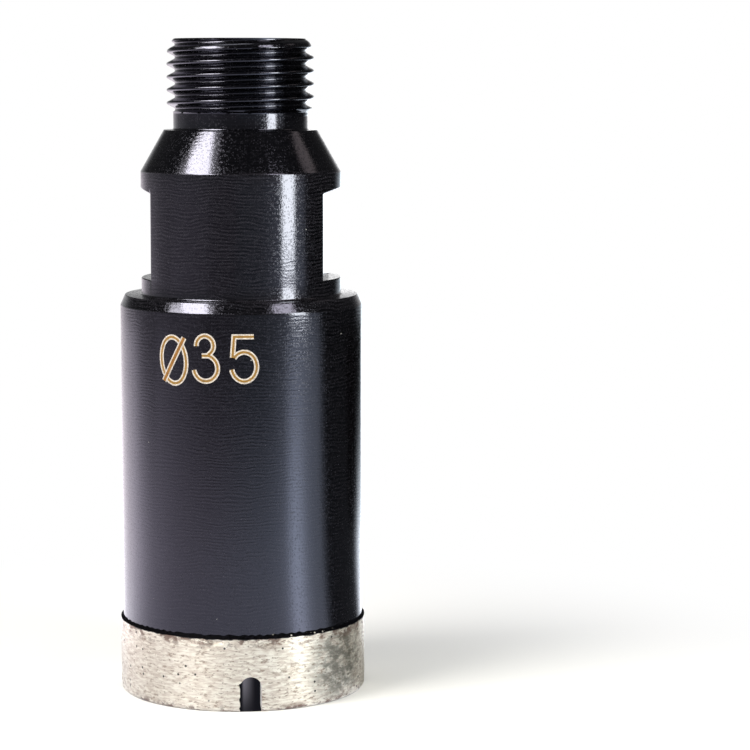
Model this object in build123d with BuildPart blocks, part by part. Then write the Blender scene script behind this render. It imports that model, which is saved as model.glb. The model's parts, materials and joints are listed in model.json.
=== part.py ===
from build123d import *
from math import radians, tan
import os

# Diamond core bit for stone, tile and concrete, standing on its crown.
# Frame: the tool's axis is Z, the cutting rim lies on Z = 0 and the spindle
# thread points up. One wrench flat faces +X, the other faces -X.
# Angles round the tool start at -Y, its front, and grow towards +X.

# ---- driving dimensions (mm, degrees) ----

# sintered crown, brazed to the lower end of the barrel
CROWN_D = 35.0  # the hole that the bit cuts
CROWN_WALL = 3.5  # the kerf
CROWN_H = 10.2
HOLE_CLEARANCE = 0.4  # the barrel clears the hole by this, all round
CORE_CLEARANCE = 0.5  # and its bore clears the core
RIM_ROUNDING = 0.5  # run-in edges of the cutting rim
SLOT_COUNT = 4  # water slots
SLOT_W = 3.0
SLOT_DEPTH = 4.9
SLOT_ANGLE = 8.4  # the first slot, from the front

# black-coated braze fillet between the barrel and the crown
BRAZE_H = 0.65

# barrel of the body
BARREL_H = 46.2  # from the crown to the shoulder's top face
SHOULDER_BEVEL_W = 0.65
SHOULDER_BEVEL_H = 1.45
END_WALL = 4.0  # closes the barrel under the shank
SIDE_HOLE_D = 6.0  # lets a stuck core be pushed out
SIDE_HOLE_DROP = 9.4  # from the shoulder's top face to the hole's axis
SIDE_HOLE_ANGLE = -90.0

# shank with two wrench flats
SHANK_D = 28.2
FLATS_AF = 24.0  # across the flats
FLATS_H = 12.0
FLATS_LIFT = 2.4  # round collar between the shoulder and the flats
COLLAR_H = 2.9  # round collar above the flats
CONE_H = 5.8
SEAT_W = 1.35  # flat ring on the cone's top, which seats on the spindle
CORNER_FILLET = 0.3

# G 1/2 spindle thread of 55 degree form, cut to the low side of its tolerance
THREAD_D = 20.7
THREAD_PITCH = 1.814
THREAD_ANGLE = 55.0
THREAD_LENGTH = 10.3  # from the neck to the end face
THREAD_TOP_BEVEL = 1.1
THREAD_LEAD_IN = 0.52  # the thread tool starts this far below the thread
THREAD_TOOL_REACH = 0.1  # and stands this far out of the crests
NECK_H = 2.4  # plain neck between the seat and the thread
NECK_STAND = 0.26  # the neck stands this far above the thread's roots, which run out in it
WATER_BORE_D = 8.0
WATER_BORE_BEVEL = 0.6

# ---- worked-out sizes ----

CROWN_R = CROWN_D / 2
CORE_R = CROWN_R - CROWN_WALL
BARREL_R = CROWN_R - HOLE_CLEARANCE
BARREL_BORE_R = CORE_R + CORE_CLEARANCE
SHANK_R = SHANK_D / 2
WATER_BORE_R = WATER_BORE_D / 2

SHOULDER_Z = CROWN_H + BARREL_H
ROOF_Z = SHOULDER_Z - END_WALL
FLATS_Z = SHOULDER_Z + FLATS_LIFT
CONE_Z = FLATS_Z + FLATS_H + COLLAR_H
SEAT_Z = CONE_Z + CONE_H
THREAD_Z = SEAT_Z + NECK_H
TOP_Z = THREAD_Z + THREAD_LENGTH
SIDE_HOLE_Z = SHOULDER_Z - SIDE_HOLE_DROP

# the sharp triangle of the thread form loses a sixth of its depth at crest and root
FLANK_SLOPE = tan(radians(THREAD_ANGLE / 2))
THREAD_R = THREAD_D / 2
THREAD_ROOT_R = THREAD_R - THREAD_PITCH / 2 / FLANK_SLOPE * 2 / 3
THREAD_ROOT_HALF_W = THREAD_PITCH / 12
NECK_R = THREAD_ROOT_R + NECK_STAND
CONE_TOP_R = NECK_R + SEAT_W


def radial_plane(angle, height):
    """A plane on the axis that faces outwards at an angle from the front, its own Y axis up."""
    return Plane(
        origin=(0, 0, height),
        x_dir=Vector(1, 0, 0).rotate(Axis.Z, angle),
        z_dir=Vector(0, -1, 0).rotate(Axis.Z, angle),
    )


def turned_edges(part, height):
    """The round edges at one height, the smallest first."""
    circles = part.edges().filter_by(GeomType.CIRCLE)
    return circles.filter_by_position(Axis.Z, height - 0.01, height + 0.01).sort_by(SortBy.RADIUS)


# ---- body: turned from one bar, its flats milled and its thread cut ----

with BuildPart() as body:
    with BuildSketch(Plane.XZ):
        with BuildLine():
            Polyline(
                (BARREL_BORE_R, CROWN_H),
                (BARREL_R, CROWN_H),
                (BARREL_R, SHOULDER_Z - SHOULDER_BEVEL_H),
                (BARREL_R - SHOULDER_BEVEL_W, SHOULDER_Z),
                (SHANK_R, SHOULDER_Z),
                (SHANK_R, CONE_Z),
                (CONE_TOP_R, SEAT_Z),
                (NECK_R, SEAT_Z),
                (NECK_R, THREAD_Z),
                (THREAD_R, THREAD_Z + THREAD_R - NECK_R),
                (THREAD_R, TOP_Z - THREAD_TOP_BEVEL),
                (THREAD_R - THREAD_TOP_BEVEL, TOP_Z),
                (WATER_BORE_R + WATER_BORE_BEVEL, TOP_Z),
                (WATER_BORE_R, TOP_Z - WATER_BORE_BEVEL),
                (WATER_BORE_R, ROOF_Z),
                (BARREL_BORE_R, ROOF_Z),
                close=True,
            )
        make_face()
    revolve(axis=Axis.Z)
    fillet(turned_edges(body, SHOULDER_Z)[0], radius=CORNER_FILLET)
    fillet(turned_edges(body, SEAT_Z)[0], radius=CORNER_FILLET)
    fillet(turned_edges(body, ROOF_Z)[-1], radius=CORNER_FILLET)

    # two wrench flats: the milling cutters leave the slab between them
    with BuildSketch(Plane.XY.offset(FLATS_Z)):
        Rectangle(SHANK_D, SHANK_D)
        Rectangle(FLATS_AF, SHANK_D, mode=Mode.SUBTRACT)
    extrude(amount=FLATS_H, mode=Mode.SUBTRACT)

    # side hole through one wall of the barrel
    with BuildSketch(radial_plane(SIDE_HOLE_ANGLE, SIDE_HOLE_Z)):
        Circle(SIDE_HOLE_D / 2)
    extrude(amount=CROWN_R, mode=Mode.SUBTRACT)

    # spindle thread: the groove of a 55 degree tool along a right-hand helix
    thread_start_z = THREAD_Z - THREAD_LEAD_IN
    with BuildLine():
        Helix(
            pitch=THREAD_PITCH,
            height=THREAD_LEAD_IN + THREAD_LENGTH + THREAD_PITCH,
            radius=THREAD_R,
            center=(0, 0, thread_start_z),
        )
    with BuildSketch(Plane.XZ):
        with BuildLine():
            tool_back_r = THREAD_R + THREAD_TOOL_REACH
            tool_back_half_w = THREAD_ROOT_HALF_W + (tool_back_r - THREAD_ROOT_R) * FLANK_SLOPE
            Polyline(
                (THREAD_ROOT_R, thread_start_z - THREAD_ROOT_HALF_W),
                (tool_back_r, thread_start_z - tool_back_half_w),
                (tool_back_r, thread_start_z + tool_back_half_w),
                (THREAD_ROOT_R, thread_start_z + THREAD_ROOT_HALF_W),
                close=True,
            )
        make_face()
    sweep(is_frenet=True, mode=Mode.SUBTRACT)


# ---- crown: a sintered ring with water slots cut up from its rim ----

with BuildPart() as crown:
    with BuildSketch():
        Circle(CROWN_R)
        Circle(CORE_R, mode=Mode.SUBTRACT)
    extrude(amount=CROWN_H)
    fillet(turned_edges(crown, 0), radius=RIM_ROUNDING)

    for slot in range(SLOT_COUNT):
        with BuildSketch(radial_plane(SLOT_ANGLE + slot * 360 / SLOT_COUNT, 0)):
            Rectangle(SLOT_W, SLOT_DEPTH - SLOT_W / 2, align=(Align.CENTER, Align.MIN))
            with Locations((0, SLOT_DEPTH - SLOT_W / 2)):
                Circle(SLOT_W / 2)
        extrude(amount=CROWN_R, mode=Mode.SUBTRACT)


# ---- braze fillet: fills the step between the barrel and the wider crown ----

with BuildPart() as braze_fillet:
    with BuildSketch(Plane.XZ):
        with BuildLine():
            Polyline(
                (BARREL_R, CROWN_H),
                (CROWN_R, CROWN_H),
                (BARREL_R, CROWN_H + BRAZE_H),
                close=True,
            )
        make_face()
    revolve(axis=Axis.Z)


# ---- the pieces, one file each ----

os.makedirs("parts", exist_ok=True)

body.part.label = "body"
crown.part.label = "crown"
braze_fillet.part.label = "braze_fillet"

export_step(body.part, "parts/body.step")
export_step(crown.part, "parts/crown.step")
export_step(braze_fillet.part, "parts/braze_fillet.step")
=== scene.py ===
import bmesh
import bpy
import json
import numpy as np
from math import cos, pi, radians, sin, tan
from mathutils import Matrix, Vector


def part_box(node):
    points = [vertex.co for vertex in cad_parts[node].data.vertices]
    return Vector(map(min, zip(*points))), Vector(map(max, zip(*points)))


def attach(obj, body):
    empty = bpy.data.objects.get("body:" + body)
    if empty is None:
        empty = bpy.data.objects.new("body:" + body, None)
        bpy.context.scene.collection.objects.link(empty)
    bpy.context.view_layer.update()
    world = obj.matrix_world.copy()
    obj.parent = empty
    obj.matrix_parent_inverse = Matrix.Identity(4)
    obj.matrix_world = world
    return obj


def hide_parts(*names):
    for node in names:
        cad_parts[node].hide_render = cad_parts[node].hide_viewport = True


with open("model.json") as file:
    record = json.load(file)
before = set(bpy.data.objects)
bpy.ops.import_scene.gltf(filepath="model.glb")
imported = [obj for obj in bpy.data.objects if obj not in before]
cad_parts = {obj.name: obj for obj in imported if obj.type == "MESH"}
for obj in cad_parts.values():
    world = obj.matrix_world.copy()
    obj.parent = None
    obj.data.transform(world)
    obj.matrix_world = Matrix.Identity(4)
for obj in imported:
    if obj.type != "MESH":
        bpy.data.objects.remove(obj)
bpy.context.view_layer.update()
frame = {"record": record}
mounts = {mount["name"]: mount for mount in frame["record"]["mounts"]}


# ---- steel body ----
# One bar turned to a barrel, a shoulder, a shank and a spindle thread, with two milled
# wrench flats, a side hole and a bore. It is coated satin black over its turning lines.

TAU = 2 * pi
WELD = 2e-6  # points nearer than this are one point

CROWN_TOP_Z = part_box("crown")[1].z
BARREL_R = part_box("body")[1].x
TOP_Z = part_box("body")[1].z
BARREL_BORE_R = 0.0145
SHOULDER_Z = 0.0564
SHOULDER_BEVEL = (0.00065, 0.00145)
ROOF_Z = 0.0524
SHANK_R = 0.0141
FLAT_X = mounts["wrench_flat_right"]["pos_m"][0]
FLATS_Z = (0.0588, 0.0708)
CONE_Z = 0.0737
SEAT_Z = mounts["thread_seat"]["pos_m"][2]
SEAT_R = 0.0108
NECK_R = 0.00945
THREAD_Z = 0.0819
WATER_BORE_R = mounts["water_bore"]["dims"]["r_mm"] / 1000
INNER_CORNER = 0.0003  # rounding of inner corners
OUTER_EDGE = 0.00015  # rounding of square outer edges
BLUNT_EDGE = 0.0005  # rounding of edges that turn little
BORE_MOUTH = 0.0006  # rounding at the water bore's upper end
BROKEN_EDGE = 0.00012  # the flats' rims and the bore's lower end are broken by this much
LEDGE_RISE = 0.00065  # the flats' upper ledges rise outwards by this much


def flat_edges():
    """The angles at which the wrench flats meet the round shank."""
    half = np.arccos(FLAT_X / SHANK_R)
    return np.array((half, pi - half, pi + half, TAU - half))


def turn_angles(steps=240, edge_width=radians(0.4)):
    """Even steps round one turn, with three steps close together at each edge of a flat."""
    even = np.arange(steps) / steps * TAU
    gap = np.abs(even[:, None] - flat_edges()).min(axis=1)
    edges = (flat_edges()[:, None] + np.array((-1, 0, 1)) * edge_width).ravel()
    return np.sort(np.concatenate((even[gap > 2 * edge_width], edges)))


TURN = turn_angles()
CLOSED_TURN = np.append(TURN, TAU)


def placed(radius, angle, height):
    """Points at a radius, an angle counter-clockwise from +X and a height."""
    return np.stack(np.broadcast_arrays(radius * np.cos(angle), radius * np.sin(angle), height), -1)


def unit(vectors):
    """Each vector divided by its length."""
    return vectors / np.linalg.norm(vectors, axis=-1, keepdims=True)


def rounded(corners, steps=6):
    """An outline through (radius, height, rounding) corners. Each inner corner becomes an arc
    tangent to its two sides, swept evenly from one tangent point to the other."""
    corners = np.array(corners, float)
    middle, rounding = corners[1:-1, :2], corners[1:-1, 2:]
    back, ahead = unit(corners[:-2, :2] - middle), unit(corners[2:, :2] - middle)
    half = np.arccos(np.clip((back * ahead).sum(-1, keepdims=True), -1, 1)) / 2
    centre = middle + unit(back + ahead) * rounding / np.sin(half)
    start = middle + back * rounding / np.tan(half) - centre
    end = middle + ahead * rounding / np.tan(half) - centre
    sweep = (pi - 2 * half)[:, None]
    share = np.linspace(0, 1, steps)[None, :, None]
    arcs = np.sin((1 - share) * sweep) * start[:, None] + np.sin(share * sweep) * end[:, None]
    arcs = centre[:, None] + arcs / np.sin(sweep)
    return np.concatenate((corners[:1, :2], arcs.reshape(-1, 2), corners[-1:, :2]))


def turned(outline):
    """An outline of (radius, height) carried once round the axis."""
    return placed(outline[:, :1], CLOSED_TURN, outline[:, 1:])


def in_scene(name, data):
    """An object linked to the scene."""
    made = bpy.data.objects.new(name, data)
    bpy.context.scene.collection.objects.link(made)
    return made


def welded(name, sheets, material, sharp=radians(40)):
    """One closed skin from grids of points. Neighbours in a grid span a face, near points merge,
    and edges that turn by more than the sharp angle stay crisp."""
    points, faces, start = [], [], 0
    for sheet in sheets:
        rows, columns = sheet.shape[:2]
        index = start + np.arange(rows * columns).reshape(rows, columns)
        corners = (index[:-1, :-1], index[:-1, 1:], index[1:, 1:], index[1:, :-1])
        faces.append(np.stack(corners, -1).reshape(-1, 4))
        points.append(sheet.reshape(-1, 3))
        start += rows * columns
    mesh = bpy.data.meshes.new(name)
    mesh.from_pydata(np.concatenate(points).tolist(), [], np.concatenate(faces).tolist())
    skin = bmesh.new()
    skin.from_mesh(mesh)
    bmesh.ops.remove_doubles(skin, verts=skin.verts, dist=WELD)
    bmesh.ops.recalc_face_normals(skin, faces=skin.faces)
    skin.to_mesh(mesh)
    skin.free()
    mesh.shade_smooth()
    mesh.set_sharp_from_angle(angle=sharp)
    mesh.materials.append(material)
    return in_scene(name, mesh)


# the spindle thread, 55 degree form with rounded crests and roots

THREAD_R = mounts["spindle_thread"]["dims"]["r_mm"] / 1000
PITCH = 0.001814
HALF_ANGLE = radians(27.5)
GROOVE_Z = 0.08138  # a groove's centre at angle 0
ROUNDING_SHARE = 0.137329  # of the pitch, for the form's roundings
DEPTH_SHARE = 0.640327  # of the pitch, for the form's depth
FORM_ROUNDING = ROUNDING_SHARE * PITCH
THREAD_ROOT_R = THREAD_R - DEPTH_SHARE * PITCH
RUNOUT_H = 0.0006
RUNOUT_Z = THREAD_Z - RUNOUT_H  # below this the neck is plain
RUNOUT_SLOPE = (NECK_R - THREAD_ROOT_R) / (THREAD_Z - RUNOUT_Z)
TOP_BEVEL = (0.0007, 0.364)  # how far it stands in at the top, and how much it widens going down
TOP_CORNER = 0.00105  # the same for the corner that is broken at 45 degrees
CORNER_SOFTNESS = 0.00025
TOP_FACE_R = 0.0085  # flat end face inside the bevel


def soft_lesser(first, second, softness):
    """The lesser of two sizes. Where they differ by less than the softness, a parabola joins
    them, a quarter of the softness below the corner at most."""
    near = np.clip(1 - np.abs(first - second) / softness, 0, 1)
    return np.minimum(first, second) - near**2 * softness / 4


def thread_radius(angle, height):
    """The thread's skin: across one pitch an arc at the root, a straight flank and an arc at the
    crest. The groove runs out in the neck, and the cones of the start chamfer, of the steep top
    bevel and of its broken corner cut the rest, the last two softly."""
    off = np.abs((height - GROOVE_Z - PITCH * angle / TAU + PITCH / 2) % PITCH - PITCH / 2)
    arc_half = FORM_ROUNDING * cos(HALF_ANGLE)
    rise = FORM_ROUNDING * (1 - sin(HALF_ANGLE))
    from_root, from_crest = np.minimum(off, arc_half), np.minimum(PITCH / 2 - off, arc_half)
    root = THREAD_ROOT_R + FORM_ROUNDING - np.sqrt(FORM_ROUNDING**2 - from_root**2)
    crest = THREAD_R - FORM_ROUNDING + np.sqrt(FORM_ROUNDING**2 - from_crest**2)
    flank = THREAD_ROOT_R + rise + (off - arc_half) / tan(HALF_ANGLE)
    form = np.where(off < arc_half, root, np.where(PITCH / 2 - off < arc_half, crest, flank))
    form = form + RUNOUT_SLOPE * np.maximum(THREAD_Z - height, 0)
    start_chamfer = NECK_R + np.maximum(height - THREAD_Z, 0)
    form = np.minimum(form, start_chamfer)
    down, (inset, widening) = TOP_Z - height, TOP_BEVEL
    form = soft_lesser(form, THREAD_R - inset + widening * down, CORNER_SOFTNESS)
    return soft_lesser(form, THREAD_R - TOP_CORNER + down, CORNER_SOFTNESS)


def thread_sheet():
    """The helix: one step along it climbs with the angle, and one step across it goes up one
    pitch, from root to root. What lies past either end is drawn in to that end's circle."""
    arc = FORM_ROUNDING * np.sin(np.linspace(-1, 1, 7) * (pi / 2 - HALF_ANGLE))
    flank = np.linspace(arc[-1], PITCH / 2 - arc[-1], 5)[1:-1]
    root = len(arc) // 2
    crest, far_flank = PITCH / 2 + arc, PITCH - flank[::-1]
    across = np.concatenate((arc[root:], flank, crest, far_flank, PITCH + arc[: root + 1]))
    first_turn = int(np.floor((RUNOUT_Z - GROOVE_Z) / PITCH)) - 1
    last_turn = int(np.ceil((TOP_Z - GROOVE_Z) / PITCH))
    along = np.concatenate([TURN + TAU * turn for turn in range(first_turn, last_turn)])
    along = np.append(along, TAU * last_turn)
    height = GROOVE_Z + PITCH * along / TAU + across[:, None]
    height = np.clip(height, RUNOUT_Z, TOP_Z)
    return placed(thread_radius(along, height), along, height)


# the barrel's wall with its side hole

SIDE_HOLE_R = mounts["side_hole"]["dims"]["r_mm"] / 1000
SIDE_HOLE_Z = mounts["side_hole"]["pos_m"][2]
HOLE_EDGE = 0.0002  # the hole's mouth is broken by this much
WINDOW_HALF = 0.0041  # the hole's patch is a square window of this half width


def window_columns():
    """The first and the last angle of the patch round the hole, as places in the turn."""
    half = WINDOW_HALF / BARREL_R
    return np.searchsorted(TURN, pi - half), np.searchsorted(TURN, pi + half)


WINDOW_FIRST, WINDOW_LAST = window_columns()
WINDOW_ROWS = np.linspace(SIDE_HOLE_Z + WINDOW_HALF, SIDE_HOLE_Z - WINDOW_HALF, 19)


def window_border():
    """Angles and heights once round the window: along its top, down, back along its foot, up."""
    across, down = TURN[WINDOW_FIRST : WINDOW_LAST + 1], WINDOW_ROWS
    last_column, first_column = 0 * down[1:] + across[-1], 0 * down[1:] + across[0]
    top, foot = 0 * across + down[0], 0 * across[1:] + down[-1]
    angle = np.concatenate((across, last_column, across[-2::-1], first_column))
    height = np.concatenate((top, down[1:], foot, down[-2::-1]))
    return angle, height


def hole_mouth(hole_radius):
    """The sideways offset and the height of a circle round the hole's axis, a point for each
    point of the window's border, in the same direction from the centre."""
    angle, height = window_border()
    direction = np.arctan2(height - SIDE_HOLE_Z, (angle - pi) * BARREL_R)
    return hole_radius * np.cos(direction), SIDE_HOLE_Z + hole_radius * np.sin(direction)


def on_wall(sideways, height, radius, inset=0.0):
    """Points of the wall's left side at a sideways offset, moved in along the hole's axis."""
    depth = np.sqrt(radius**2 - sideways**2) - inset
    return np.stack(np.broadcast_arrays(-depth, -sideways, height), -1)


def wall_sheets(radius, hole_radius):
    """The window's height of a wall: the turn outside the window, and a patch that blends from
    the window's square border to the hole's round mouth."""
    around = np.concatenate((TURN[WINDOW_LAST:], TAU + TURN[: WINDOW_FIRST + 1]))
    angle, height = window_border()
    sideways, mouth_height = hole_mouth(hole_radius)
    mouth_angle = pi + np.arcsin(sideways / radius)
    share = np.linspace(0, 1, 7)[:, None]
    patch_angle = angle + (mouth_angle - angle) * share
    patch_height = height + (mouth_height - height) * share
    return [placed(radius, around, WINDOW_ROWS[:, None]), placed(radius, patch_angle, patch_height)]


def hole_tunnel():
    """From the broken edge of the hole's mouth straight in to the barrel's bore."""
    wide, wide_height = hole_mouth(SIDE_HOLE_R + HOLE_EDGE)
    narrow, narrow_height = hole_mouth(SIDE_HOLE_R)
    return np.stack((
        on_wall(wide, wide_height, BARREL_R),
        on_wall(narrow, narrow_height, BARREL_R, HOLE_EDGE),
        on_wall(narrow, narrow_height, BARREL_BORE_R),
    ))


def flats_sheet():
    """Between the collars the radius is the lesser of the shank's and the flat's distance over
    the cosine of the angle. The lower ledge runs in level and the upper one rises outwards in
    proportion to its depth. Their rims are broken."""
    flat = soft_lesser(FLAT_X / np.abs(np.cos(CLOSED_TURN)), SHANK_R, HOLE_EDGE)
    rim = SHANK_R - np.minimum(BROKEN_EDGE, SHANK_R - flat)
    low, high = FLATS_Z
    slope = LEDGE_RISE * (rim - flat) / (SHANK_R - FLAT_X)
    return np.stack((
        placed(SHANK_R, CLOSED_TURN, high + LEDGE_RISE + BROKEN_EDGE),
        placed(SHANK_R, CLOSED_TURN, high + slope + BROKEN_EDGE),
        placed(rim, CLOSED_TURN, high + slope),
        placed(flat, CLOSED_TURN, high),
        placed(flat, CLOSED_TURN, low),
        placed(rim, CLOSED_TURN, low),
        placed(SHANK_R, CLOSED_TURN, low - BROKEN_EDGE),
    ))


def body_sheets():
    """Every surface of the body, from the thread down the outside and back up the bore."""
    shoulder_r, bevel_z = BARREL_R - SHOULDER_BEVEL[0], SHOULDER_Z - SHOULDER_BEVEL[1]
    head = rounded((
        (NECK_R, RUNOUT_Z, 0),
        (NECK_R, SEAT_Z, INNER_CORNER),
        (SEAT_R, SEAT_Z, OUTER_EDGE),
        (SHANK_R, CONE_Z, BLUNT_EDGE),
        (SHANK_R, FLATS_Z[1] + LEDGE_RISE + BROKEN_EDGE, 0),
    ))
    shoulder = rounded((
        (SHANK_R, FLATS_Z[0] - BROKEN_EDGE, 0),
        (SHANK_R, SHOULDER_Z, INNER_CORNER),
        (shoulder_r, SHOULDER_Z, OUTER_EDGE),
        (BARREL_R, bevel_z, BLUNT_EDGE),
        (BARREL_R, WINDOW_ROWS[0], 0),
    ))
    foot = np.array((
        (BARREL_R, WINDOW_ROWS[-1]),
        (BARREL_R, CROWN_TOP_Z),
        (BARREL_BORE_R, CROWN_TOP_Z),
        (BARREL_BORE_R, WINDOW_ROWS[-1]),
    ))
    bore = rounded((
        (BARREL_BORE_R, WINDOW_ROWS[0], 0),
        (BARREL_BORE_R, ROOF_Z, INNER_CORNER),
        (WATER_BORE_R, ROOF_Z, BROKEN_EDGE),
        (WATER_BORE_R, TOP_Z, BORE_MOUTH),
        (TOP_FACE_R, TOP_Z, 0),
    ))
    top = np.stack((
        placed(TOP_FACE_R, CLOSED_TURN, TOP_Z),
        placed(thread_radius(CLOSED_TURN, TOP_Z), CLOSED_TURN, TOP_Z),
    ))
    walls = wall_sheets(BARREL_R, SIDE_HOLE_R + HOLE_EDGE) + wall_sheets(BARREL_BORE_R, SIDE_HOLE_R)
    lathe = [turned(outline) for outline in (head, shoulder, foot, bore)]
    return [thread_sheet(), flats_sheet(), top, hole_tunnel()] + lathe + walls


# the helpers that lay out shader nodes


def feed(tree, made, inputs):
    """Each input of a node linked to the socket, or set to the value, that is given for it."""
    for name, value in inputs.items():
        if isinstance(value, bpy.types.NodeSocket):
            tree.links.new(value, made.inputs[name])
        else:
            made.inputs[name].default_value = value


def node(tree, kind, inputs=None, **settings):
    """A shader node with its settings and its inputs."""
    made = tree.nodes.new(kind)
    for name, value in settings.items():
        setattr(made, name, value)
    feed(tree, made, inputs or {})
    return made


def maths(tree, operation, *values):
    """The result of one sum on values or sockets."""
    return node(tree, "ShaderNodeMath", dict(enumerate(values)), operation=operation).outputs[0]


def coordinate(tree, place, axis):
    """One coordinate of a place."""
    return node(tree, "ShaderNodeSeparateXYZ", {0: place}).outputs[axis]


def ranged(tree, value, low, high, to_low=0.0, to_high=1.0):
    """A value carried smoothly from one range to another and held at its ends."""
    inputs = {"Value": value, "From Min": low, "From Max": high}
    inputs |= {"To Min": to_low, "To Max": to_high}
    made = node(tree, "ShaderNodeMapRange", inputs, interpolation_type="SMOOTHSTEP")
    return made.outputs["Result"]


def blended(tree, share, first, second):
    """A colour between two colours or sockets."""
    made = node(tree, "ShaderNodeMix", {0: share, 6: first, 7: second}, data_type="RGBA")
    return made.outputs[2]


def noise(tree, place, scale, detail=2.0, roughness=0.5):
    """Smooth noise from 0 to 1, at so many cells to the metre."""
    inputs = {"Vector": place, "Scale": scale, "Detail": detail, "Roughness": roughness}
    return node(tree, "ShaderNodeTexNoise", inputs).outputs["Fac"]


def stretched(tree, place, scale):
    """Places scaled by a different amount along each axis."""
    return node(tree, "ShaderNodeMapping", {"Vector": place, "Scale": scale}).outputs["Vector"]


def group(name, inputs, outputs):
    """A node group with a place and named numbers going in and named numbers coming out."""
    tree = bpy.data.node_groups.new(name, "ShaderNodeTree")
    tree.interface.new_socket("Place", in_out="INPUT", socket_type="NodeSocketVector")
    for socket, value in inputs.items():
        made = tree.interface.new_socket(socket, in_out="INPUT", socket_type="NodeSocketFloat")
        made.default_value = value
    for socket in outputs:
        tree.interface.new_socket(socket, in_out="OUTPUT", socket_type="NodeSocketFloat")
    return tree, tree.nodes.new("NodeGroupInput").outputs, tree.nodes.new("NodeGroupOutput").inputs


def use(tree, tool, place, **inputs):
    """A group placed in a material with its own values."""
    return node(tree, "ShaderNodeGroup", {"Place": place, **inputs}, node_tree=tool).outputs


def turning_lines_group():
    """Fine rings left by the lathe: a sine of the height, pushed up and down a little by noise,
    and broken where a second noise, drawn out round the axis, is low."""
    inputs = {"Spacing": 0.00048, "Wander": 0.0026}
    tree, given, result = group("turning_lines", inputs, ("Height",))
    height = coordinate(tree, given["Place"], "Z")
    wander = maths(tree, "MULTIPLY", noise(tree, given["Place"], 120, 3), given["Wander"])
    phase = maths(tree, "DIVIDE", maths(tree, "ADD", height, wander), given["Spacing"])
    wave = maths(tree, "SINE", maths(tree, "MULTIPLY", phase, TAU))
    patches = noise(tree, stretched(tree, given["Place"], (450, 450, 2300)), 1, 2)
    strength = ranged(tree, patches, 0.38, 0.6)
    tree.links.new(maths(tree, "MULTIPLY", wave, strength), result["Height"])
    return tree


def grain_group():
    """Fine grain: noise of one cell size with a finer one over it."""
    tree, given, result = group("grain", {"Cell": 0.0002}, ("Height",))
    scale = maths(tree, "DIVIDE", 1.0, given["Cell"])
    coarse = noise(tree, given["Place"], scale, 1)
    fine = noise(tree, given["Place"], maths(tree, "MULTIPLY", scale, 2.3), 0)
    tree.links.new(maths(tree, "ADD", coarse, maths(tree, "MULTIPLY", fine, 0.4)), result["Height"])
    return tree


def pits_group():
    """Small round spots: cells of a Voronoi pattern, of which a share holds a spot."""
    tree, given, result = group("pits", {"Cell": 0.001, "Size": 0.00012, "Share": 0.3}, ("Mask",))
    inputs = {"Vector": given["Place"], "Scale": maths(tree, "DIVIDE", 1.0, given["Cell"])}
    cells = node(tree, "ShaderNodeTexVoronoi", inputs)
    reach = maths(tree, "MULTIPLY", cells.outputs["Distance"], given["Cell"])
    edge = maths(tree, "DIVIDE", reach, given["Size"])
    draw = node(tree, "ShaderNodeSeparateColor", {0: cells.outputs["Color"]}).outputs[0]
    chosen = maths(tree, "LESS_THAN", draw, given["Share"])
    tree.links.new(maths(tree, "MULTIPLY", ranged(tree, edge, 1.15, 0.85), chosen), result["Mask"])
    return tree


TURNING_LINES, GRAIN, PITS = turning_lines_group(), grain_group(), pits_group()


def new_material(name):
    """A material, its tree, its Principled shader and its object coordinates."""
    material = bpy.data.materials.new(name)
    material.use_nodes = True
    tree = material.node_tree
    place = node(tree, "ShaderNodeTexCoord").outputs["Object"]
    return material, tree, tree.nodes["Principled BSDF"], place


def black_coat():
    """Satin black coat: nearly black with a violet cast, lighter on the turning lines, which show
    most on the shank and least above it, with sandy grain and a few pale specks."""
    material, tree, shader, place = new_material("black_coat")
    lines = use(tree, TURNING_LINES, place)["Height"]
    grain = use(tree, GRAIN, place, Cell=0.00024)["Height"]
    sand = use(tree, PITS, place, Cell=0.0003, Size=0.00014, Share=0.6)["Mask"]
    specks = use(tree, PITS, place, Cell=0.0024, Size=0.00009, Share=0.22)["Mask"]
    height = coordinate(tree, place, "Z")
    on_barrel = ranged(tree, height, SHOULDER_Z - 0.001, SHOULDER_Z, 0.55, 1)
    above_shank = ranged(tree, height, CONE_Z, CONE_Z + 0.0005, 1, 0.15)
    shown = maths(tree, "MULTIPLY", on_barrel, above_shank)
    ridges = maths(tree, "MULTIPLY", ranged(tree, lines, -0.7, 1), shown)
    base = blended(tree, ridges, (0.0, 0.0, 0.0, 1), (0.0125, 0.0115, 0.0145, 1))
    base = blended(tree, maths(tree, "MULTIPLY", sand, 0.15), base, (0.0105, 0.0097, 0.012, 1))
    base = blended(tree, specks, base, (0.35, 0.34, 0.33, 1))
    satin = ranged(tree, grain, 0.6, 0.9, 0.08, 0.13)
    rings = node(tree, "ShaderNodeBump", {"Height": lines, "Distance": 2e-6}).outputs[0]
    sandy = {"Height": grain, "Distance": 7e-6, "Normal": rings}
    feed(tree, shader, {
        "Base Color": base,
        "Roughness": maths(tree, "ADD", satin, maths(tree, "MULTIPLY", sand, 0.16)),
        "IOR": 1.6,
        "Specular IOR Level": 0.85,
        "Specular Tint": (0.78, 0.785, 1.0, 1),
        "Normal": node(tree, "ShaderNodeBump", sandy).outputs[0],
    })
    return material


steel_body = welded("steel_body", body_sheets(), black_coat())
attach(steel_body, "root")
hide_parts("body")


# ---- size mark ----
# The bit's diameter in millimetres, burnt through the coat with a fine beam. Each stroke has a
# straw-coloured core between two pale edges.

MARK_ANGLE = radians(-90 - 11.875)  # the mark's middle, round the axis
MARK_Z = 0.04857
EDGE_W = 0.00070  # whole stroke
CORE_W = 0.00030
SLASH_EDGE_W = 1.12 * EDGE_W
SLASH_CORE_W = 1.4 * CORE_W
MARK_RISE = 0.000012  # each layer of strokes stands this much above the last


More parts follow.
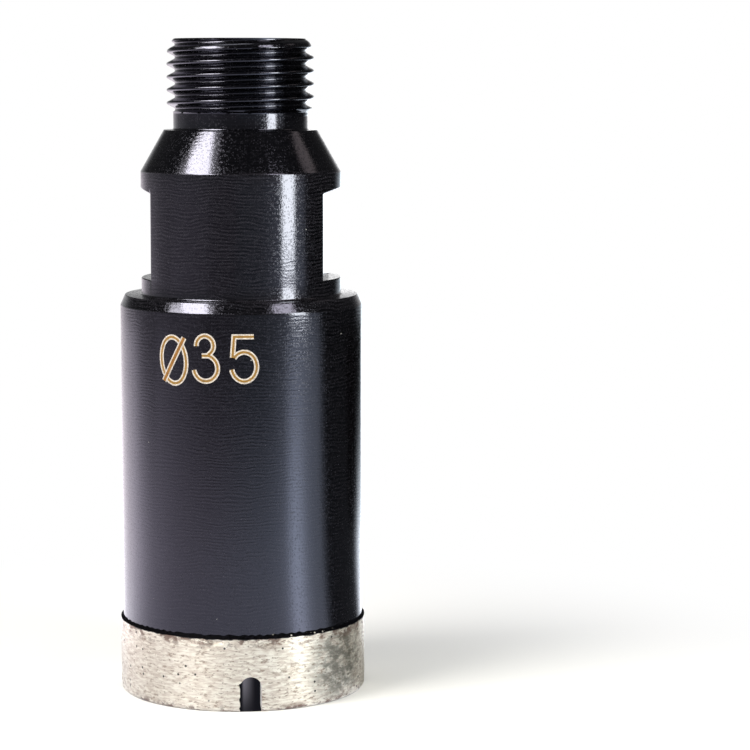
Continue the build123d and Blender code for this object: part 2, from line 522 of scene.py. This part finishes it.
def bowl(centre, radii, start, end, lean=0.0, steps=60):
    """An arc of an ellipse, pushed sideways in proportion to its height."""
    angle = np.radians(np.linspace(start, end, steps))
    across, up = centre[0] + radii[0] * np.cos(angle), centre[1] + radii[1] * np.sin(angle)
    return np.stack((across + lean * (up - centre[1]), up), -1)


def straight(*corners):
    """A bent line through corners, with even points along each run."""
    corners = np.array(corners, float)
    share = np.linspace(0, 1, 24)[None, :, None]
    runs = corners[:-1, None] + (corners[1:] - corners[:-1])[:, None] * share
    return runs.reshape(-1, 2)


MARK_STROKES = (  # millimetres from the mark's middle, sideways and up
    bowl((-4.82, -0.06), (2.0, 3.16), 90, 450, lean=-0.07),
    bowl((-0.05, 2.12), (1.22, 1.31), 184, -68),
    bowl((0.05, -0.98), (1.68, 1.76), 76, -171),
    straight((-0.48, 0.72), (0.46, 0.75)),
    straight((6.68, 3.38), (3.99, 3.38), (3.78, 0.52)),
    bowl((5.36, -0.72), (1.7, 2.0), 143, -169),
    straight((-6.38, -2.97), (-3.10, 3.08)),
)


def ribbon(line, width, rise):
    """A strip of a width along a line, wrapped on the barrel at a rise above it: the line's
    points moved half a width to either side, square to the line, and further at a bend by one
    over the cosine of half the bend."""
    keep = np.append(True, np.linalg.norm(np.diff(line, axis=0), axis=1) > 1e-6)
    line = line[keep] / 1000
    steps = unit(np.diff(line, axis=0))
    bend = np.pad((steps[:-1] * steps[1:]).sum(-1), 1, constant_values=1)
    ahead = unit(np.gradient(line, axis=0)) / np.sqrt((1 + bend[:, None]) / 2)
    side = np.stack((-ahead[:, 1], ahead[:, 0]), -1) * width / 2
    across = np.array((-1, -1, 0, 1, 1, -1))[:, None, None]
    lift = np.array((0, 1, 1, 1, 0, 0))[:, None] * rise
    flat = line + across * side
    skin = placed(BARREL_R + lift, MARK_ANGLE + flat[..., 0] / BARREL_R, MARK_Z + flat[..., 1])
    ends = [np.stack((skin[:3, end], skin[[5, 4, 3], end])) for end in (0, -1)]
    return [skin] + ends


def burnt_coat(name, dark, light):
    """Coat burnt by the beam: a colour that varies finely along the stroke."""
    material, tree, shader, place = new_material(name)
    grain = use(tree, GRAIN, place, Cell=0.00016)["Height"]
    feed(tree, shader, {
        "Base Color": blended(tree, ranged(tree, grain, 0.45, 0.95), dark, light),
        "Roughness": ranged(tree, grain, 0.4, 1.0, 0.45, 0.7),
    })
    return material


PALE_EDGE = burnt_coat("mark_edge", (0.4, 0.345, 0.31, 1), (0.68, 0.63, 0.58, 1))
STRAW_CORE = burnt_coat("mark_core", (0.175, 0.088, 0.009, 1), (0.35, 0.188, 0.027, 1))
AMBER_CORE = burnt_coat("mark_slash_core", (0.165, 0.066, 0.004, 1), (0.33, 0.145, 0.016, 1))


def mark_piece(name, strokes, width, rise, material):
    """Strokes of one width as one piece on the barrel."""
    sheets = [sheet for stroke in strokes for sheet in ribbon(stroke, width, rise)]
    piece = welded(name, sheets, material)
    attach(piece, "root")


mark_piece("mark_edges", MARK_STROKES[:-1], EDGE_W, MARK_RISE, PALE_EDGE)
mark_piece("mark_cores", MARK_STROKES[:-1], CORE_W, 2 * MARK_RISE, STRAW_CORE)
mark_piece("mark_slash_edges", MARK_STROKES[-1:], SLASH_EDGE_W, 3 * MARK_RISE, PALE_EDGE)
mark_piece("mark_slash_core", MARK_STROKES[-1:], SLASH_CORE_W, 4 * MARK_RISE, AMBER_CORE)


# ---- crown ----
# A ring of diamond grit in bronze, pressed and sintered, ground round outside and dressed on its
# rim. Four water slots are cut up from the rim, chipped along their left edges, and brazing to the
# barrel has stained it. Painted shade darkens it on the right and on the left in front.

CROWN_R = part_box("crown")[1].x
CORE_R = mounts["core_bore"]["dims"]["r_mm"] / 1000
RIM_ROUNDING = 0.0005
SLOT_COUNT = 4
SLOT_HALF = 0.0015
SLOT_TOP_Z = 0.0049
SLOT_ANGLE = radians(8.4 - 90)  # the first slot, round the axis
SECTOR_HALF = pi / SLOT_COUNT
ARCH_STEPS = 150  # steps over a slot's round top, and as many round its sector
SIDE_STEPS = ARCH_STEPS // 8  # how many of these go up either side of the sector
WAVE_DEPTH = 0.00003  # the waves of the ground face, either way


def waves(angle, height, seed, count=40, reach=(5, 60), tall=(200, 2500)):
    """Low noise, mostly from -1 to 1: a sum of sine waves round the ring and up it, of random
    pitch and phase, over 1.6 times the root of their count, which it seldom passes."""
    draw = np.random.default_rng(seed)
    around = draw.integers(reach[0], reach[1], count)
    upward = draw.uniform(tall[0], tall[1], count) * draw.choice((-1, 1), count)
    phase = draw.uniform(0, TAU, count)
    angle, height = np.asarray(angle)[..., None], np.asarray(height)[..., None]
    return np.sin(around * angle + upward * height + phase).sum(-1) / np.sqrt(count) / 1.6


SLOT_BITES = (  # height, half height and depth of the bites in each slot's left edge
    (0.00374, 0.00022, 0.00042),
    (0.00167, 0.00025, 0.00022),
    (0.00047, 0.00018, 0.00026),
)


def slot_leg():
    """Heights up the straight side of a slot, close together at the rounded rim."""
    rim = RIM_ROUNDING * (1 - np.cos(np.linspace(0, pi / 2, 6)))
    return np.concatenate((rim, np.linspace(RIM_ROUNDING, SLOT_TOP_Z - SLOT_HALF, 32)[1:]))


def slot_outline():
    """Sideways offset and height along a slot's edge: up one side, over its round top, down. The
    left side is moved outwards by the bites, each a bell of the height."""
    leg, arch = slot_leg(), np.linspace(pi, 0, ARCH_STEPS)[1:-1]
    sideways = np.concatenate((0 * leg - SLOT_HALF, SLOT_HALF * np.cos(arch), 0 * leg + SLOT_HALF))
    height = np.concatenate((leg, leg[-1] + SLOT_HALF * np.sin(arch), leg[::-1]))
    for bite_z, half_h, depth in SLOT_BITES:
        bite = depth * np.exp(-(((height - bite_z) / half_h) ** 2))
        sideways = np.where(sideways < 0, sideways - bite, sideways)
    return sideways, height


def sector_outline():
    """Angle and height along a sector's border, a point for each point of the slot's edge."""
    leg = slot_leg()
    up = np.linspace(leg[-1], CROWN_TOP_Z, SIDE_STEPS + 1)[1:]
    across = np.linspace(-SECTOR_HALF, SECTOR_HALF, ARCH_STEPS - 2 * SIDE_STEPS)[1:-1]
    side = SECTOR_HALF + 0 * np.concatenate((leg, up))
    angle = np.concatenate((-side, across, side))
    height = np.concatenate((leg, up, 0 * across + CROWN_TOP_Z, up[::-1], leg[::-1]))
    return angle, height


def rim_inset(height):
    """How far a quarter round at the rim stands back at a height."""
    left = np.clip(RIM_ROUNDING - height, 0, RIM_ROUNDING)
    return RIM_ROUNDING - np.sqrt(RIM_ROUNDING**2 - left**2)


PAINTED_SHADE_PLACE = (0.0145, -0.0098, 0.0055)  # the middle of the grey painted shade, on the right in front
LEFT_SHADE_PLACE = (-0.0145, -0.0098, 0.0045)  # the middle of the painted shade on the left in front, darker and browner

CHIPS = (  # angle in degrees from the front, height, half width, half height, depth
    (-7.3, 0.00985, 0.0010, 0.0004, 0.00022),
    (15.8, 0.00965, 0.0009, 0.0003, 0.00020),
)


def outer_radius(angle, height):
    """The crown's outside: its radius less the rim's rounding, shallow waves, and chips that are
    hollows falling off as a bell."""
    dent = WAVE_DEPTH * (1 + np.clip(waves(angle, height, 7), -1, 1))
    for degrees, chip_z, half_w, half_h, depth in CHIPS:
        along = ((angle - radians(degrees - 90) + pi) % TAU - pi) * CROWN_R / half_w
        dent = dent + depth * np.exp(-(along**4) - ((height - chip_z) / half_h) ** 2)
    return CROWN_R - rim_inset(height) - dent


def crown_sector(middle):
    """One slot's share of the ring: outside, bore, slot walls, rim and top face."""
    sideways, slot_z = slot_outline()
    border_angle, border_z = sector_outline()
    share = np.linspace(0, 1, 34)[:, None]
    height = slot_z + (border_z - slot_z) * share

    def face(nominal, radius_at):
        edge = np.arcsin(sideways / nominal)
        angle = middle + edge + (border_angle - edge) * share
        return placed(radius_at(angle, height), angle, height)

    outside = face(CROWN_R, outer_radius)
    bore = face(CORE_R, lambda angle, z: CORE_R + rim_inset(z))
    through = np.linspace(0, 1, 6)[:, None, None]
    slot_walls = outside[0] + (bore[0] - outside[0]) * through
    rims = [outside[:, end] + (bore[:, end] - outside[:, end]) * through for end in (0, -1)]
    side = len(slot_leg()) + SIDE_STEPS - 1
    top = slice(side, -side)
    top_face = outside[-1, top] + (bore[-1, top] - outside[-1, top]) * through
    return [outside, bore, slot_walls, top_face] + rims


def measured(tree, operation, *vectors):
    """The number worked out from vectors, such as a length or a distance."""
    inputs = dict(enumerate(vectors))
    return node(tree, "ShaderNodeVectorMath", inputs, operation=operation).outputs["Value"]


def sintered_metal():
    """Ground bronze: warm pale metal whose scratches run round the ring, with level streaks, brown
    stains from the brazing, and dark pits where grit has fallen out. Painted shade turns it grey on
    the right in front and darker and browner on the left in front. Black coat has run a little over
    its top edge and into its bore."""
    material, tree, shader, place = new_material("sintered_metal")
    height = coordinate(tree, place, "Z")
    streaks = noise(tree, stretched(tree, place, (700, 700, 3400)), 1, 4, 0.6)
    mottle = noise(tree, stretched(tree, place, (1150, 1150, 2900)), 1, 3, 0.65)
    stains = noise(tree, stretched(tree, place, (1, 1, 1.5)), 420, 4, 0.7)
    smears = noise(tree, stretched(tree, place, (500, 500, 800)), 1, 4, 0.7)
    grain = use(tree, GRAIN, place, Cell=0.00025)["Height"]
    pits = use(tree, PITS, place, Cell=0.0011, Size=0.00017, Share=0.3)["Mask"]
    bright = ranged(tree, streaks, 0.35, 0.65)
    base = blended(tree, bright, (0.69, 0.61, 0.54, 1), (1.0, 0.96, 0.87, 1))
    base = blended(tree, ranged(tree, mottle, 0.55, 0.65, 0, 0.75), base, (0.29, 0.2, 0.15, 1))
    base = blended(tree, ranged(tree, stains, 0.6, 0.72, 0, 0.65), base, (0.28, 0.19, 0.13, 1))
    # painted shade: a grey patch on the right in front, broken up by smears
    painted_shade = ranged(tree, measured(tree, "DISTANCE", place, PAINTED_SHADE_PLACE), 0.0075, 0.003)
    painted_shade = maths(tree, "MULTIPLY", painted_shade, ranged(tree, smears, 0.35, 0.6, 0.25, 1))
    base = blended(tree, maths(tree, "MULTIPLY", painted_shade, 0.85), base, (0.13, 0.13, 0.11, 1))
    # painted shade: the crown darker and browner on the left in front
    from_left_shade = measured(tree, "DISTANCE", place, LEFT_SHADE_PLACE)
    left_shade = ranged(tree, from_left_shade, 0.010, 0.004, 0, 0.28)
    base = blended(tree, left_shade, base, (0.45, 0.39, 0.32, 1))
    near_top = ranged(tree, height, CROWN_TOP_Z - 0.002, CROWN_TOP_Z - 0.0003)
    near_rim = ranged(tree, height, 0.0012, 0.0002)
    edges = maths(tree, "MAXIMUM", near_top, near_rim)
    worn = maths(tree, "MULTIPLY", edges, ranged(tree, stains, 0.48, 0.58))
    base = blended(tree, maths(tree, "MULTIPLY", worn, 0.85), base, (0.17, 0.10, 0.08, 1))
    base = blended(tree, pits, base, (0.03, 0.025, 0.02, 1))
    ragged = maths(tree, "MULTIPLY", noise(tree, place, 900, 3), 0.0006)
    ragged = maths(tree, "ADD", height, ragged)
    spill = ranged(tree, ragged, CROWN_TOP_Z + 0.0002, CROWN_TOP_Z + 0.00026)
    level = node(tree, "ShaderNodeVectorMath", {0: place, 1: (1, 1, 0)}, operation="MULTIPLY")
    radius = measured(tree, "LENGTH", level.outputs[0])
    inside = ranged(tree, radius, CORE_R + 0.0008, CORE_R + 0.0002)
    coated = maths(tree, "MAXIMUM", spill, inside)
    base = blended(tree, coated, base, (0.008, 0.008, 0.01, 1))
    bare = maths(tree, "SUBTRACT", 1.0, maths(tree, "MAXIMUM", coated, pits))
    relief = maths(tree, "ADD", streaks, maths(tree, "MULTIPLY", grain, 0.6))
    relief = maths(tree, "SUBTRACT", relief, maths(tree, "MULTIPLY", pits, 2.0))
    scratches = node(tree, "ShaderNodeTangent", direction_type="RADIAL", axis="Z")
    feed(tree, shader, {
        "Base Color": base,
        "Metallic": maths(tree, "MULTIPLY", bare, 0.6),
        "Roughness": ranged(tree, streaks, 0.3, 0.7, 0.42, 0.32),
        "Anisotropic": 0.75,
        "Anisotropic Rotation": 0.25,
        "Tangent": scratches.outputs[0],
        "Normal": node(tree, "ShaderNodeBump", {"Height": relief, "Distance": 2.5e-5}).outputs[0],
    })
    return material


SLOT_ANGLES = SLOT_ANGLE + np.arange(SLOT_COUNT) * TAU / SLOT_COUNT
crown_sheets = [sheet for middle in SLOT_ANGLES for sheet in crown_sector(middle)]
sintered_ring = welded("sintered_ring", crown_sheets, sintered_metal())
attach(sintered_ring, "root")
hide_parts("crown")


# ---- braze fillet ----
# Braze that filled the step between the barrel and the crown, coated black with the barrel. Its
# face is hollow and its two edges are ragged.

BRAZE_TOP_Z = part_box("braze_fillet")[1].z
RAGGED_TOP = 0.18  # waves take up to twice this share off its height
RAGGED_FOOT = 0.07  # and up to twice this share off its width
FRONT_SHARE = 0.35  # it is full height in front and twice this share lower behind
HOLLOW = 1.3  # the power that bends its slope into a hollow
LUMP = 0.00003  # the lumps on its face, either way
LUMP_H = 0.002  # the height of the waves that its face takes in
PAINTED_GLINT_PLACE = (0.0098, -0.0143, 0.0105)  # the middle of the pale spots painted as glints


def braze_section():
    """Round the ring, a hollow curve from the barrel down and out to the crown, closed by a point
    inside the step. Its height and width vary with noise, and it is tallest in front."""
    angle = np.linspace(0, TAU, 721)
    top_waves = np.clip(waves(angle, 0 * angle, 3, reach=(12, 120)), -1, 1)
    ragged_up = 1 - RAGGED_TOP * (1 + top_waves)
    ragged_up = ragged_up * (1 - FRONT_SHARE - FRONT_SHARE * np.sin(angle))
    foot_waves = np.clip(waves(angle, 0 * angle, 5, reach=(12, 160)), -1, 1)
    ragged_out = 1 - RAGGED_FOOT * (1 + foot_waves)
    tall = (BRAZE_TOP_Z - CROWN_TOP_Z) * ragged_up
    wide = (CROWN_R - BARREL_R) * ragged_out
    share = np.linspace(0, 1, 9)[:, None]
    lumps = LUMP * waves(angle, share * LUMP_H, 9, reach=(20, 200)) * np.sin(share * pi)
    radius = BARREL_R + wide * share**HOLLOW + lumps
    height = CROWN_TOP_Z + tall * (1 - share) ** HOLLOW + lumps
    skin = placed(np.minimum(radius, CROWN_R), angle, np.clip(height, CROWN_TOP_Z, BRAZE_TOP_Z))
    foot = placed(BARREL_R, angle, CROWN_TOP_Z)
    return np.concatenate((foot[None], skin, foot[None]))


def coated_braze():
    """The black coat again, burnt dull over lumpy braze, with a few pale spots on the right painted
    as glints of the strip light.
    """
    material, tree, shader, place = new_material("braze_coat")
    grain = use(tree, GRAIN, place, Cell=0.0003)["Height"]
    painted_glints = use(tree, PITS, place, Cell=0.0005, Size=0.00014, Share=0.35)["Mask"]
    near = ranged(tree, measured(tree, "DISTANCE", place, PAINTED_GLINT_PLACE), 0.0055, 0.0035)
    lumpy = ranged(tree, grain, 0.4, 1.0)
    base = blended(tree, lumpy, (0.0, 0.0, 0.0, 1), (0.004, 0.0038, 0.006, 1))
    # painted highlights: pale spots on the right stand in for glints of the strip light
    base = blended(tree, maths(tree, "MULTIPLY", painted_glints, near), base, (0.45, 0.43, 0.39, 1))
    feed(tree, shader, {
        "Base Color": base,
        "Roughness": ranged(tree, grain, 0.4, 1.0, 0.5, 0.75),
        "Specular IOR Level": 0.03,
        "Normal": node(tree, "ShaderNodeBump", {"Height": grain, "Distance": 1.5e-5}).outputs[0],
    })
    return material


braze_ring = welded("braze_ring", [braze_section()], coated_braze())
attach(braze_ring, "root")
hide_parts("braze_fillet")


# ---- studio ----
# A white paper table under seven soft lamps, the brightest a strip on the right in front and a high
# leaning one on the left in front. What the part mirrors besides the lamps is a room whose light is
# given for each bearing; the floor glows with it only for mirrored rays, a painted reflection.

CAMERA_BEARING = radians(5.0)  # round the axis, from the front towards +X
FLOOR_HALF = 6.0
FLOOR_Z = -0.00002  # just clear of the rim

# degrees from the camera to the right, the light near the part, the share of it that is left a
# metre further off, and the light far off
BEARINGS = (
    (-180, 2.4, 0.1, 1.1), (-152, 2.1, 0.25, 1.1), (-134, 2.1, 0.25, 0.5),
    (-121, 2.2, 0.15, 0.45), (-109, 1.9, 0.03, 0.35), (-99, 1.5, 0.02, 0.3),
    (-90, 1.2, 0.02, 0.28), (-82, 1.05, 0.08, 0.31), (-62, 0.8, 0.06, 0.3),
    (-45, 0.71, 0.02, 0.27), (-30, 0.68, 0.006, 0.16), (0, 0.67, 0.004, 0.14),
    (20, 0.72, 0.005, 0.18), (28, 0.8, 0.015, 0.24), (34, 0.9, 0.035, 0.28),
    (39, 1.15, 0.03, 0.35), (43, 1.9, 0.05, 0.4), (48.5, 2.75, 0.06, 0.5),
    (54, 2.2, 0.12, 0.5), (60, 1.25, 0.4, 0.5), (67, 0.85, 0.7, 0.5),
    (75, 0.75, 0.5, 0.35), (79.5, 0.3, 0.3, 0.05), (85, 0.04, 0.1, 0.02),
    (116, 0.05, 1e-20, 0.02), (126, 0.08, 1e-20, 0.02), (132, 0.6, 1e-30, 0.02),
    (138, 1.7, 1e-18, 0.05), (146, 2.6, 1e-8, 0.38), (158, 2.9, 1e-6, 0.95),
    (180, 2.4, 0.1, 1.1),
)
BRIGHTEST = 3.0  # the ramp holds the two lights over this


def room_group():
    """What the part mirrors, by its bearing round the axis: the light near the part, how much of
    it is left a metre further off and the light far off, read from a ramp of bearings."""
    tree, given, result = group("room", {}, ("Near", "Kept", "Far"))
    split = node(tree, "ShaderNodeSeparateXYZ", {0: given["Place"]}).outputs
    bearing = maths(tree, "ARCTAN2", split["X"], maths(tree, "MULTIPLY", split["Y"], -1.0))
    from_camera = maths(tree, "SUBTRACT", bearing, CAMERA_BEARING)
    turns = maths(tree, "ADD", maths(tree, "DIVIDE", from_camera, TAU), 0.5)
    ramp = node(tree, "ShaderNodeValToRGB", {0: maths(tree, "FRACT", turns)})
    for step, (degrees, near, kept, far) in enumerate(BEARINGS):
        spot = degrees / 360 + 0.5
        stop = ramp.color_ramp.elements[0] if step == 0 else ramp.color_ramp.elements.new(spot)
        stop.position = spot
        stop.color = (near / BRIGHTEST, kept, far / BRIGHTEST, 1)
    levels = node(tree, "ShaderNodeSeparateColor", {0: ramp.outputs["Color"]}).outputs
    tree.links.new(maths(tree, "MULTIPLY", levels[0], BRIGHTEST), result["Near"])
    tree.links.new(levels[1], result["Kept"])
    tree.links.new(maths(tree, "MULTIPLY", levels[2], BRIGHTEST), result["Far"])
    return tree


ROOM = room_group()


# distances from the axis
FADE_START = 0.12  # the near light fades past this
BESIDE = (0.035, 0.06)  # between these, the floor beside the part turns to open floor
FAR_OFF = (0.5, 0.75)  # between these, the near light gives way to the far light
FAR_FADE = (1.2, 3.0)  # between these, the far light weakens
PLAIN = (0.025, 0.1)  # between these, shaded paper gives way to plain white
PAINTED_STRIP_SIDES = (-0.0003, 0.0001, 0.0018)  # the painted light strip's left edge, full light, right edge
PAINTED_STRIP_ENDS = (-0.0193, 0.0026)  # the painted light strip's front and back ends


def between(tree, share, first, second):
    """A number between two numbers or sockets."""
    inputs = {0: share, 2: first, 3: second}
    return node(tree, "ShaderNodeMix", inputs, data_type="FLOAT").outputs[0]


def mixed(tree, share, first, second):
    """A mix of two shaders."""
    return node(tree, "ShaderNodeMixShader", {0: share, 1: first, 2: second}).outputs[0]


def mirrored_light(tree, place, distance):
    """What the part mirrors of the table, painted on it as a glow: close beside it the near light,
    held down as painted shade, then the near light times the share kept to the power of the
    distance, and then the far light."""
    room = use(tree, ROOM, place)
    beyond = maths(tree, "MAXIMUM", maths(tree, "SUBTRACT", distance, FADE_START), 0.0)
    open_floor = ranged(tree, distance, *BESIDE)
    beside = maths(tree, "MINIMUM", room["Near"], 0.9)
    beside = maths(tree, "MULTIPLY", beside, maths(tree, "SUBTRACT", 1.0, open_floor))
    near = maths(tree, "MULTIPLY", room["Near"], maths(tree, "POWER", room["Kept"], beyond))
    near = maths(tree, "ADD", maths(tree, "MULTIPLY", near, open_floor), beside)
    far = maths(tree, "MULTIPLY", room["Far"], ranged(tree, distance, *FAR_FADE, 1.0, 0.6))
    return between(tree, ranged(tree, distance, *FAR_OFF), near, far)


def paper_with_painted_shade(tree, place, under_part):
    """White, and nearly black with painted shade under the part but for a strip of painted light
    behind the front slot, where light comes in. The strip is bright at its left edge and dims to
    the right and to the front."""
    left, bright, right = PAINTED_STRIP_SIDES
    backwards = (-sin(CAMERA_BEARING), cos(CAMERA_BEARING), 0)
    rightwards = (cos(CAMERA_BEARING), sin(CAMERA_BEARING), 0)
    deep = measured(tree, "DOT_PRODUCT", place, backwards)
    aside = measured(tree, "DOT_PRODUCT", place, rightwards)
    # painted light: a strip under the part behind the front slot
    painted_strip_light = ranged(tree, aside, left, bright)
    painted_strip_light = maths(tree, "MULTIPLY", painted_strip_light, ranged(tree, aside, left, right, 1, 0))
    painted_strip_light = maths(tree, "MULTIPLY", painted_strip_light, ranged(tree, deep, *PAINTED_STRIP_ENDS, 0.1, 1))
    inside = blended(tree, painted_strip_light, (0.0085, 0.0085, 0.0115, 1), (0.17, 0.163, 0.19, 1))
    return blended(tree, under_part, (1, 1, 1, 1), inside)


def floor_paint():
    """White paper that the part shades where it is close, plain white further off and nearly black
    with painted shade under the part. What the part mirrors of it is the room's light, painted on
    as a glow for mirrored rays, a little pink on the left and blue on the right."""
    material, tree, shader, place = new_material("white_table")
    feed(tree, shader, {
        "Base Color": (0.9, 0.9, 0.91, 1),
        "Roughness": 0.9,
        "Specular IOR Level": 0.0,
    })
    shaded = shader.outputs[0]
    distance = measured(tree, "LENGTH", place)
    # painted shade: under the part the paper is painted nearly black
    under_part = ranged(tree, distance, CROWN_R, CROWN_R - 0.0006)
    paper_and_painted_shade = paper_with_painted_shade(tree, place, under_part)
    glow = node(tree, "ShaderNodeEmission", {"Color": paper_and_painted_shade, "Strength": 1.0}).outputs[0]
    plain = maths(tree, "MAXIMUM", ranged(tree, distance, *PLAIN), under_part)
    side = ranged(tree, coordinate(tree, place, "X"), -0.12, 0.12)
    tint = blended(tree, side, (1.0, 0.92, 0.985, 1), (0.98, 1.09, 1.16, 1))
    light = mirrored_light(tree, place, distance)
    # painted reflection: for mirrored rays the floor glows with the room's light instead of its
    # shading
    shine = node(tree, "ShaderNodeEmission", {"Color": tint, "Strength": light}).outputs[0]
    path = node(tree, "ShaderNodeLightPath").outputs
    seen = mixed(tree, plain, shaded, glow)
    seen = mixed(tree, path["Is Camera Ray"], shaded, seen)
    seen = mixed(tree, path["Is Glossy Ray"], seen, shine)
    feed(tree, tree.nodes["Material Output"], {"Surface": seen})
    return material


corners = np.array(((-1, -1), (1, -1), (1, 1), (-1, 1))) * FLOOR_HALF
floor_mesh = bpy.data.meshes.new("white_table")
floor_mesh.from_pydata([(x, y, FLOOR_Z) for x, y in corners.tolist()], [], [(0, 1, 2, 3)])
floor_mesh.materials.append(floor_paint())
floor = in_scene("white_table", floor_mesh)


def studio_world():
    """White behind everything and a grey glow on matt surfaces. Mirrored rays meet the room's far
    light, which is strongest at the horizon and fades upwards."""
    world = bpy.data.worlds.new("studio")
    world.use_nodes = True
    tree = world.node_tree
    ray = node(tree, "ShaderNodeTexCoord").outputs["Generated"]
    low = ranged(tree, coordinate(tree, ray, "Z"), 0.02, 0.26, 0.6, 0.03)
    room = maths(tree, "MULTIPLY", use(tree, ROOM, ray)["Far"], low)
    room = maths(tree, "ADD", room, 0.035)
    path = node(tree, "ShaderNodeLightPath").outputs
    level = between(tree, path["Is Glossy Ray"], 0.45, room)
    level = between(tree, path["Is Camera Ray"], level, 1.0)
    feed(tree, tree.nodes["Background"], {"Color": (1, 1, 1, 1), "Strength": level})
    bpy.context.scene.world = world


studio_world()


def stood(bearing, distance, height):
    """The place at a bearing from the front, a distance from the axis and a height."""
    return np.array((sin(bearing) * distance, -cos(bearing) * distance, height))


def aimed(place, turn, tilt, roll):
    """A place, with a look from it that is turned from the front, tilted up and then rolled."""
    return (Matrix.Translation(place)
            @ Matrix.Rotation(turn, 4, "Z")
            @ Matrix.Rotation(pi / 2 + tilt, 4, "X")
            @ Matrix.Rotation(roll, 4, "Z"))


LAMP_AIM = np.array((0, 0, 0.05))  # the part's middle


def lamp(name, bearing, distance, height, width, tall, radiance, colour=(1, 1, 1), lean=0.0):
    """A soft rectangular light at a bearing from the camera's side, a distance from the axis and
    a height, turned to the part's middle and leant sideways. Its power is four times area times
    radiance."""
    light = bpy.data.lights.new(name, "AREA")
    light.shape = "RECTANGLE"
    light.size, light.size_y = width, tall
    light.energy = 4 * width * tall * radiance
    light.color = colour
    angle = radians(bearing) + CAMERA_BEARING
    place = stood(angle, distance, height)
    aim = LAMP_AIM - place
    tilt = np.arctan2(aim[2], np.linalg.norm(aim[:2]))
    piece = in_scene(name, light)
    piece.matrix_world = aimed(place, angle, tilt, radians(lean))
    piece.visible_camera = False


lamp("strip_light", 53, 0.15, 0.0848, 0.041, 0.0754, 9.2, (0.97, 1.0, 0.87))
lamp("right_high_light", 46, 0.28, 0.274, 0.11, 0.08, 4.0, (1.0, 0.95, 0.92))
lamp("left_high_light", -54.5, 0.29, 0.312, 0.14, 0.27, 9.6, (1.0, 0.965, 0.88), 42)
lamp("left_low_light", -71, 0.29, 0.235, 0.07, 0.05, 5.0, (1.0, 0.965, 0.88))
lamp("left_soft_light", -56, 0.33, 0.33, 0.28, 0.34, 0.9, (1.0, 0.965, 0.88), 42)
lamp("right_back_light", 102, 0.3, 0.297, 0.1, 0.07, 0.5, (1, 0.85, 0.75))
lamp("overhead_light", -150, 0.25, 0.9, 0.4, 0.4, 0.8)


# ---- camera ----
# A long lens, level with the thread and looking slightly down. It looks past the axis on its
# right, so the part stands left of the middle.

CAMERA_DISTANCE = 0.3548
CAMERA_HEIGHT = 0.0874
CAMERA_YAW = radians(3.065)  # to the right of the axis
CAMERA_PITCH = radians(6.87)  # below level
CAMERA_ROLL = radians(0.08)
CAMERA_LENS = 120.2

camera = in_scene("camera", bpy.data.cameras.new("camera"))
camera.data.lens = CAMERA_LENS
camera.data.sensor_width = 36
camera.data.clip_start = 0.01
camera_place = stood(CAMERA_BEARING, CAMERA_DISTANCE, CAMERA_HEIGHT)
camera_turn = CAMERA_BEARING - CAMERA_YAW
camera.matrix_world = aimed(camera_place, camera_turn, -CAMERA_PITCH, CAMERA_ROLL)
bpy.context.scene.camera = camera
bpy.context.scene.view_settings.view_transform = "Standard"
